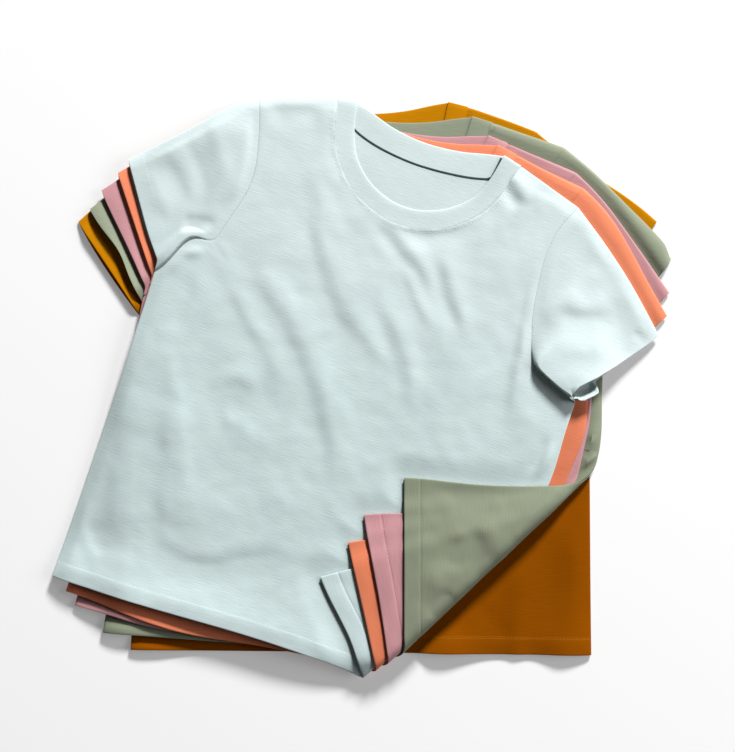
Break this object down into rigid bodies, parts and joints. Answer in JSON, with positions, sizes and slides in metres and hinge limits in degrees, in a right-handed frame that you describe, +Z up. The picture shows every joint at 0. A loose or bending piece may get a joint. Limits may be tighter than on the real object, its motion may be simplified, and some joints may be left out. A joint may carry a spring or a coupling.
{
  "type": "t-shirt stack",
  "caption": "Fanned stack of short-sleeved crew neck T-shirts lying flat and face up, the lower right corner of the upper shirts turned back over the front.",
  "frame": {"origin": "bottom centre of the stack's bounding box, on the surface that it rests on", "axes": "+Z up out of that surface, +X to the right as the fan is seen from above with the necks away from the viewer, +Y towards the necks"},
  "size_m": [0.6819, 0.6436, 0.0304],
  "materials": {
    "ochre_jersey": "matte cotton jersey",
    "sage_jersey": "matte cotton jersey",
    "mauve_jersey": "matte cotton jersey",
    "coral_jersey": "matte cotton jersey",
    "blue_jersey": "matte cotton jersey"
  },
  "bodies": {
    "root": {"ochre_front": "ochre_jersey", "ochre_back": "ochre_jersey", "ochre_sleeve_left": "ochre_jersey", "ochre_sleeve_right": "ochre_jersey", "ochre_neckband": "ochre_jersey", "sage_front": "sage_jersey", "sage_back": "sage_jersey", "sage_sleeve_left": "sage_jersey", "sage_sleeve_right": "sage_jersey", "sage_neckband": "sage_jersey", "mauve_front": "mauve_jersey", "mauve_back": "mauve_jersey", "mauve_sleeve_left": "mauve_jersey", "mauve_sleeve_right": "mauve_jersey", "mauve_neckband": "mauve_jersey", "coral_front": "coral_jersey", "coral_back": "coral_jersey", "coral_sleeve_left": "coral_jersey", "coral_sleeve_right": "coral_jersey", "coral_neckband": "coral_jersey", "blue_front": "blue_jersey", "blue_back": "blue_jersey", "blue_sleeve_left": "blue_jersey", "blue_sleeve_right": "blue_jersey", "blue_neckband": "blue_jersey"}
  },
  "joints": []
}
